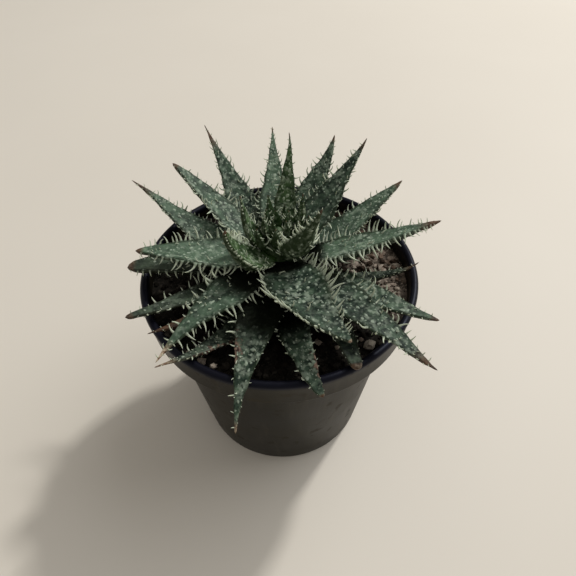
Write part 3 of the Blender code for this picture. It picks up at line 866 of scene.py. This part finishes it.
# Each finish takes the dark and light skin, the under side with its painted shade, the painted shade near
# the root, and the flecks.
LEAF_FINISHES = {
    "outer": leaf_finish("old leaf skin", (0.009, 0.015, 0.011), (0.077, 0.107, 0.071),
                         (0.016, 0.020, 0.011), (0.003, 0.003, 0.002), (0.42, 0.49, 0.385)),
    "middle": leaf_finish("grown leaf skin", (0.010, 0.020, 0.014), (0.088, 0.141, 0.092),
                          (0.014, 0.026, 0.012), (0.003, 0.004, 0.002), (0.46, 0.55, 0.43)),
    "inner": leaf_finish("young leaf skin", (0.014, 0.034, 0.010), (0.088, 0.158, 0.060),
                         (0.022, 0.038, 0.014), (0.022, 0.055, 0.010), (0.46, 0.54, 0.40)),
}
print("leaf finishes:", sorted(LEAF_FINISHES))

# %% [markdown]
# ## Growing the leaves
#
# With the blade, the teeth, the spots and the finish at hand, each leaf is one short run through
# them. Each piece stands in for the solid of its name.

# %% Grow every leaf
STORED_HABITS = ("pale", "freckled", "dry", "husk", "shade", "scab")


def grow_leaf(leaf, seed):
    skin = Skin()
    draw = random.Random(seed)
    add_blade(skin, leaf)
    add_spots(skin, leaf, draw)
    add_edge_teeth(skin, leaf, draw)
    add_face_teeth(skin, leaf, draw)
    age = leaf.name.split("_")[0]
    made = skin.build("grown_" + leaf.name, [(word, habit(leaf, word)) for word in STORED_HABITS])
    made.data.materials.append(LEAF_FINISHES[age])
    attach(made, "root")
    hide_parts(leaf.name)
    return len(skin.faces)


leaf_faces = [grow_leaf(leaf, 100 + number) for number, leaf in enumerate(LEAVES)]
print("leaf faces:", sum(leaf_faces), "most in one:", max(leaf_faces))

# %% [markdown]
# ## The stem and the heart
#
# The stem is hidden but for the bud at its top, where the next leaves are still folded against
# each other. The bud is made as what it is: tiny steep leaves from the same functions, set at the
# angle by which a growing tip steps round from one leaf to the next, about 137.5 degrees.

# %% Grow the stem with its bud
STEP_ROUND = 137.5
BUD_LEAVES = 13
STEM_SIDES = 32


def add_stem(skin):
    rings = []
    for radius, height in STEM:
        ring = []
        for side in range(STEM_SIDES):
            turn = math.tau * side / STEM_SIDES
            x, y = math.cos(turn), math.sin(turn)
            wobble = 1 + 0.04 * noise.noise(Vector((3 * x, 3 * y, height / 4)))
            place = Vector((x * radius * wobble, y * radius * wobble, height))
            ring.append(skin.point(place * MM, along=0.5, under=0.6))
        if rings:
            skin.strip(rings[-1], ring)
        rings.append(ring)
    skin.fan(rings[0], skin.point(Vector((0.0, 0.0, STEM[0][1])) * MM, along=0.5))
    skin.fan(rings[-1], skin.point(Vector((0.0, 0.0, STEM[-1][1] + 1.0)) * MM, along=0.5))


bud = Skin()
add_stem(bud)
bud_draw = random.Random(31)
for number in range(BUD_LEAVES):
    share = number / (BUD_LEAVES - 1)
    scale = Leaf("bud_leaf_%d" % number, 20 + number * STEP_ROUND, 79.4 + 6.8 * share,
                 46 + 40 * share, 78 + 11 * share, 0, 10.5 - 5.0 * share, 4.4 - 1.6 * share, 0.5, 1.2)
    HABITS[scale.name] = {"tooth": 2.0, "pitch": 1.0, "curl": 0.2, "pale": 0.2}
    lines[scale.name] = leaf_line(scale)
    add_blade(bud, scale)
    add_edge_teeth(bud, scale, bud_draw)
stem_piece = bud.build("stem_and_bud", [(word, USUAL[word]) for word in STORED_HABITS])
stem_piece.data.materials.append(LEAF_FINISHES["inner"])
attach(stem_piece, "root")
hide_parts("stem")
print("stem and bud faces:", len(bud.faces))

# %% [markdown]
# ## The pot
#
# The pot is one thin moulding: a tapered wall, a collar round the mouth with a rolled bead, and
# a floor with drain holes. It is round, so its profile is turned about the middle, like a pot on
# a wheel. Stacked cylinders would be simpler, but would leave out the taper and the soft bead.

# %% Turn the pot
POT_HEIGHT = 72.0
RIM_RADIUS = 42.5
COLLAR = 10.0
SHOULDER = POT_HEIGHT - COLLAR
BODY_TOP = 37.6
BASE_RADIUS = 31.5
WALL = 1.3
RIM_WALL = 2.3
FLOOR_THICKNESS = 1.6
COLLAR_DRAFT = 0.8
COLLAR_ROUND = 0.5
UNDER_COLLAR = 0.4
FOOT_ROUND = 1.0
DRAIN_HOLES = 8
DRAIN_RADIUS = 3.0
DRAIN_RING = 21.0
WALL_STEPS = 13
POT_SIDES = 144


def arc(middle_r, middle_z, radius, start, end, steps):
    """Points on an arc in the profile, by angles from the outward direction."""
    turns = [math.radians(start + (end - start) * step / steps) for step in range(steps + 1)]
    return [(middle_r + radius * math.cos(turn), middle_z + radius * math.sin(turn)) for turn in turns]


def pot_profile():
    bead = RIM_WALL / 2
    drains = (DRAIN_RING - DRAIN_RADIUS, DRAIN_RING + DRAIN_RADIUS)
    inside = [(radius, FLOOR_THICKNESS) for radius in (0.0, *drains, BASE_RADIUS - WALL)]
    inside += [(BODY_TOP - WALL, SHOULDER), (RIM_RADIUS - RIM_WALL, SHOULDER + WALL)]
    rim = arc(RIM_RADIUS - bead, POT_HEIGHT - bead, bead, 180, 0, 10)
    collar_foot = RIM_RADIUS - COLLAR_DRAFT
    collar = [(RIM_RADIUS - 0.35, POT_HEIGHT - 3.0), (collar_foot, SHOULDER + 0.6)]
    collar += arc(collar_foot - COLLAR_ROUND, SHOULDER + COLLAR_ROUND, COLLAR_ROUND, 0, -90, 4)
    wall = [(BODY_TOP + 0.5, SHOULDER), (BODY_TOP, SHOULDER - UNDER_COLLAR)]
    for step in range(1, WALL_STEPS):
        share = step / WALL_STEPS
        radius = BODY_TOP + (BASE_RADIUS - BODY_TOP) * share
        wall.append((radius, (SHOULDER - UNDER_COLLAR) * (1 - share) + FOOT_ROUND * share))
    foot = arc(BASE_RADIUS - FOOT_ROUND, FOOT_ROUND, FOOT_ROUND, 0, -90, 4)
    below = [(radius, 0.0) for radius in (*reversed(drains), 0.0)]
    return inside + rim + collar + wall + foot + below


def turned(name, profile, sides):
    """A closed body from a profile of (radius, height) points in millimetres."""
    shape = bmesh.new()
    points = [shape.verts.new((radius * MM, 0.0, height * MM)) for radius, height in profile]
    edges = [shape.edges.new(pair) for pair in zip(points, points[1:])]
    bmesh.ops.spin(shape, geom=points + edges, cent=(0, 0, 0), axis=(0, 0, 1), angle=math.tau,
                   steps=sides, use_merge=True)
    bmesh.ops.remove_doubles(shape, verts=shape.verts, dist=0.01 * MM)
    bmesh.ops.recalc_face_normals(shape, faces=shape.faces)
    mesh = bpy.data.meshes.new(name)
    shape.to_mesh(mesh)
    shape.free()
    made = bpy.data.objects.new(name, mesh)
    bpy.context.scene.collection.objects.link(made)
    return made


pot = turned("nursery_pot", pot_profile(), POT_SIDES)
print("pot points:", len(pot.data.vertices))

# %% [markdown]
# The drain holes are cut with a Boolean. All eight cutters are one mesh, because one cut is
# quicker and cleaner than eight. The cutters are removed once the cut is applied. The angle that
# smooth shading stops at keeps the step under the collar and the holes crisp.

# %% Cut the drain holes
drills = bmesh.new()
for number in range(DRAIN_HOLES):
    turn = math.tau * (number + 0.5) / DRAIN_HOLES
    place = Vector((DRAIN_RING * math.cos(turn), DRAIN_RING * math.sin(turn), 0.0)) * MM
    bmesh.ops.create_cone(drills, cap_ends=True, segments=24, radius1=DRAIN_RADIUS * MM,
                          radius2=DRAIN_RADIUS * MM, depth=8 * MM, matrix=Matrix.Translation(place))
drill_mesh = bpy.data.meshes.new("drills")
drills.to_mesh(drill_mesh)
drills.free()
drill = bpy.data.objects.new("drills", drill_mesh)
bpy.context.scene.collection.objects.link(drill)
cut = pot.modifiers.new("Drain holes", "BOOLEAN")
cut.operation = "DIFFERENCE"
cut.object = drill
bpy.context.view_layer.update()
cut_mesh = bpy.data.meshes.new_from_object(pot.evaluated_get(bpy.context.evaluated_depsgraph_get()))
pot.modifiers.clear()
pot.data = cut_mesh
bpy.data.objects.remove(drill)
cut_mesh.shade_smooth()
cut_mesh.set_sharp_from_angle(angle=math.radians(35))
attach(pot, "root")
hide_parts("pot")
print("pot faces after the cut:", len(cut_mesh.polygons))

# %% [markdown]
# ## The pot's plastic
#
# The plastic is a near black olive with a dull sheen. Handling and watering leave it uneven: a
# thin film of dust and lime in soft patches, faint upright streaks, and small scuffs where the
# gloss is broken. All of that is low in contrast, because a pot that is too clean looks like a
# drawing and one that is too dirty draws the eye from the plant. The bead round the mouth is
# painted darker and bluer than the wall, as painted shade on the mouth and a painted blue
# reflection of the sky.

# %% Make the plastic
BEAD_FROM = 69.6
BEAD_FULL = 70.6
plastic = Finish("nursery pot plastic", 0.42)
squeezed = plastic.node("ShaderNodeMapping")
plastic.fill(squeezed.inputs["Vector"], plastic.place)
squeezed.inputs["Scale"].default_value = (1.0, 1.0, 0.12)
streaks = plastic.noise(2.2 * MM, 4.0, squeezed.outputs["Vector"])
film = plastic.noise(16 * MM, 5.0)
scuffs = plastic.fade(plastic.noise(5.0 * MM, 8.0), 0.60, 0.72)
body = plastic.mix(plastic.fade(film, 0.35, 0.75), (0.0085, 0.0075, 0.005), (0.019, 0.0165, 0.0105))
body = plastic.mix(plastic.times(plastic.fade(streaks, 0.5, 0.8), 0.3), body, (0.058, 0.050, 0.034))
body = plastic.mix(plastic.times(scuffs, 0.2), body, (0.10, 0.085, 0.065))
height = plastic.node("ShaderNodeSeparateXYZ")
plastic.fill(height.inputs["Vector"], plastic.place)
bead = plastic.fade(height.outputs["Z"], BEAD_FROM * MM, BEAD_FULL * MM)
# Painted shade and a painted blue reflection of the sky on the bead: near black with a blue cast.
plastic.colour(plastic.mix(bead, body, (0.004, 0.004, 0.0075)))
rough = plastic.plus(plastic.times(film, 0.25), 0.28)
plastic.roughness(plastic.plus(rough, plastic.times(scuffs, 0.2)))
plastic.relief(plastic.plus(plastic.noise(0.5 * MM, 2.0), plastic.times(streaks, 0.5)), 0.02 * MM)
# The bead's sheen is a little stronger and tinted blue, a painted reflection of the sky; the wall's sheen
# is tinted warm.
plastic.fill(plastic.shader.inputs["Specular IOR Level"], plastic.plus(0.13, plastic.times(bead, 0.03)))
plastic.fill(plastic.shader.inputs["Specular Tint"],
             plastic.mix(bead, (1.0, 0.95, 0.80), (0.70, 0.76, 1.0)))
pot.data.materials.clear()
pot.data.materials.append(plastic.material)

# %% [markdown]
# ## The soil
#
# The potting mix is low round the stem and banked up to the wall. Its surface is a fine net in
# rings, lifted by noise, which closes to a full body below, also where the stem's foot stands in
# it, because that place can't be seen. Loose crumbs lie on it: bark, dark
# peat and pale grit. They are separate many-sided stones rather than bump, because some stand a
# millimetre proud and throw shadows.

# %% Lay the soil
SOIL_MIDDLE = 63.6
SOIL_EDGE = 66.3
SOIL_REACH = RIM_RADIUS - RIM_WALL - 0.1
SOIL_CLEARANCE = 0.3
SOIL_RINGS = 56
SOIL_SIDES = 150


def soil_height(x, y):
    """Height of the surface in millimetres at a place in millimetres."""
    reach = min(1.0, math.hypot(x, y) / SOIL_REACH)
    bank = reach * reach * (3 - 2 * reach)
    lump = 0.5 * noise.noise(Vector((x, y, 0.0)) / 6.0)
    crumb = 0.45 * noise.noise(Vector((x, y, 5.0)) / 1.7) + 0.2 * noise.noise(Vector((x, y, 9.0)) / 0.7)
    return SOIL_MIDDLE + (SOIL_EDGE - SOIL_MIDDLE) * bank + lump + crumb


def soil_light_share(x, y):
    """Painted light and shade: 1 on the lit side, to the right and behind, where the mix keeps its own
    colours, and 0 where it is painted nearly black as shade.
    """
    return min(1.0, max(0.0, (x + 0.5 * y - 14) / 14 + 0.4 * noise.noise(Vector((x, y, 3.0)) / 7)))


def soil_ring(skin, radius, height_at, light_at):
    turns = [math.tau * side / SOIL_SIDES for side in range(SOIL_SIDES)]
    places = [(radius * math.cos(turn), radius * math.sin(turn)) for turn in turns]
    return [skin.point(Vector((x, y, height_at(x, y))) * MM, along=light_at(x, y)) for x, y in places]


def add_soil_body(skin):
    last = None
    for number in range(1, SOIL_RINGS + 1):
        ring = soil_ring(skin, SOIL_REACH * number / SOIL_RINGS, soil_height, soil_light_share)
        if last:
            skin.strip(last, ring)
        else:
            skin.fan(ring, skin.point(Vector((0.0, 0.0, soil_height(0.0, 0.0))) * MM))
        last = ring
    floor_top = FLOOR_THICKNESS + SOIL_CLEARANCE
    for radius, height in ((SOIL_REACH, SHOULDER + WALL + SOIL_CLEARANCE),
                           (BODY_TOP - WALL - SOIL_CLEARANCE, SHOULDER + SOIL_CLEARANCE),
                           (BASE_RADIUS - WALL - SOIL_CLEARANCE, floor_top)):
        ring = soil_ring(skin, radius, lambda x, y: height, lambda x, y: 0.0)
        skin.strip(last, ring)
        last = ring
    skin.fan(last, skin.point(Vector((0.0, 0.0, floor_top)) * MM))


# %% Scatter crumbs and grit
LARGE_CRUMB = 0.6


def crumb_shapes():
    """Points and faces of a plain stone with 20 and with 80 faces."""
    shapes = []
    for detail in (1, 2):
        shape = bmesh.new()
        bmesh.ops.create_icosphere(shape, subdivisions=detail, radius=1.0)
        faces = [tuple(corner.index for corner in face.verts) for face in shape.faces]
        shapes.append(([corner.co.copy() for corner in shape.verts], faces))
        shape.free()
    return shapes


def add_crumb(skin, place, radius, tone, draw, shapes, light_share):
    """A rough stone: a ball squeezed three ways and dented by noise; tone picks its colour."""
    points, faces = shapes[1 if radius > LARGE_CRUMB else 0]
    squeeze = Vector((draw.uniform(0.7, 1.3), draw.uniform(0.6, 1.0), draw.uniform(0.45, 0.8)))
    spin = Matrix.Rotation(draw.uniform(0, math.tau), 3, "Z")
    spin = spin @ Matrix.Rotation(draw.uniform(-0.5, 0.5), 3, "X")
    seed = Vector((draw.uniform(0, 50), draw.uniform(0, 50), 0.0))
    first = len(skin.points)
    for point in points:
        dent = 1 + 0.55 * noise.noise(point * 1.5 + seed)
        offset = spin @ Vector((point.x * squeeze.x, point.y * squeeze.y, point.z * squeeze.z))
        skin.point((place + offset * (radius * dent)) * MM, along=light_share, raised=1.0, tooth=tone)
    skin.faces += [tuple(first + index for index in face) for face in faces]


CRUMBS = 2600
# Pale bits that catch the eye, free of the painted shade: x, y and radius in millimetres, and the tone
NOTABLE_BITS = [(15.3, -27.5, 0.9, 0.70), (10.2, -25.4, 1.2, 0.90), (18.5, -29.0, 0.8, 0.64),
                (24.2, -27.8, 1.8, 1.0), (22.3, -25.2, 0.8, 0.66), (27.0, -16.0, 1.0, 0.80),
                (31.0, -12.5, 0.9, 0.93), (29.5, -6.5, 1.1, 0.84),
                (34.0, -5.0, 0.9, 0.93), (33.0, 3.0, 1.1, 0.82), (-25.2, -28.4, 1.2, 0.90),
                (-22.0, -30.6, 1.4, 0.82), (-18.7, -32.3, 1.1, 0.92), (-21.0, -27.5, 1.0, 0.86)]
soil = Skin()
add_soil_body(soil)
crumb_draw = random.Random(12)
stones = crumb_shapes()
for number in range(CRUMBS):
    reach = math.sqrt(crumb_draw.uniform(0.02, 0.97)) * SOIL_REACH
    turn = crumb_draw.uniform(0, math.tau)
    x, y = reach * math.cos(turn), reach * math.sin(turn)
    radius = 0.28 + 1.0 * crumb_draw.random() ** 2.5
    place = Vector((x, y, soil_height(x, y) + 0.25 * radius))
    add_crumb(soil, place, radius, crumb_draw.random(), crumb_draw, stones, soil_light_share(x, y))
for x, y, radius, tone in NOTABLE_BITS:
    place = Vector((x, y, soil_height(x, y) + 0.4 * radius))
    add_crumb(soil, place, radius, tone, crumb_draw, stones, 1.0)
soil_piece = soil.build("potting_mix", [])
soil_piece.data.set_sharp_from_angle(angle=math.radians(30))
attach(soil_piece, "root")
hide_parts("soil")
print("soil faces:", len(soil.faces))

# %% [markdown]
# ## The soil's finish
#
# Peat is nearly black, bark is reddish brown and grit is beige. The tone stored with
# each crumb picks its colour from a short scale, on which most of the length is dark and only the
# end is pale; the ground between them mixes browns by noise. The stored light share then leads
# from the mix painted nearly black, as painted shade at the front and under the leaves, to its
# own colours on the lit side.

# %% Make the soil's finish
earth = Finish("potting mix", 0.92)
grains = earth.noise(0.7 * MM, 5.0)
patchy = earth.fade(earth.noise(5 * MM, 4.0), 0.35, 0.7)
ground = earth.mix(patchy, (0.028, 0.021, 0.016), (0.20, 0.165, 0.135))
ground = earth.mix(earth.fade(grains, 0.5, 0.7), ground, (0.36, 0.30, 0.245))
scale = earth.node("ShaderNodeValToRGB")
scale.color_ramp.elements[0].color = (0.020, 0.013, 0.009, 1.0)
scale.color_ramp.elements[1].color = (0.56, 0.49, 0.40, 1.0)
for at, tint in ((0.40, (0.050, 0.030, 0.020)), (0.58, (0.20, 0.14, 0.105)), (0.76, (0.42, 0.35, 0.29))):
    scale.color_ramp.elements.new(at).color = (*tint, 1.0)
earth.fill(scale.inputs["Fac"], earth.stored("tooth"))
crumbs = earth.mix(earth.times(grains, 0.6), scale.outputs["Color"], (0.05, 0.034, 0.024))
unshaded_mix = earth.mix(earth.stored("raised"), ground, crumbs)
# Painted shade: where the light share is low the mix is darkened nearly to black.
painted_shade_mix = earth.mix(0.92, unshaded_mix, (0.004, 0.004, 0.003))
earth.colour(earth.mix(earth.stored("along"), painted_shade_mix, unshaded_mix))
earth.relief(grains, 0.12 * MM)
earth.shader.inputs["Specular IOR Level"].default_value = 0.1
soil_piece.data.materials.append(earth.material)

# %% [markdown]
#
# The finer pieces have to fill the same space as the solids. Both boxes are printed.

# %% Write the two boxes
new_low, new_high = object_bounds()
boxes = {"cad": [list(cad_low), list(cad_high)], "visual": [list(new_low), list(new_high)]}
for name, (low, high) in boxes.items():
    print(name, "size in mm:", [round((b - a) / MM, 1) for a, b in zip(low, high)])
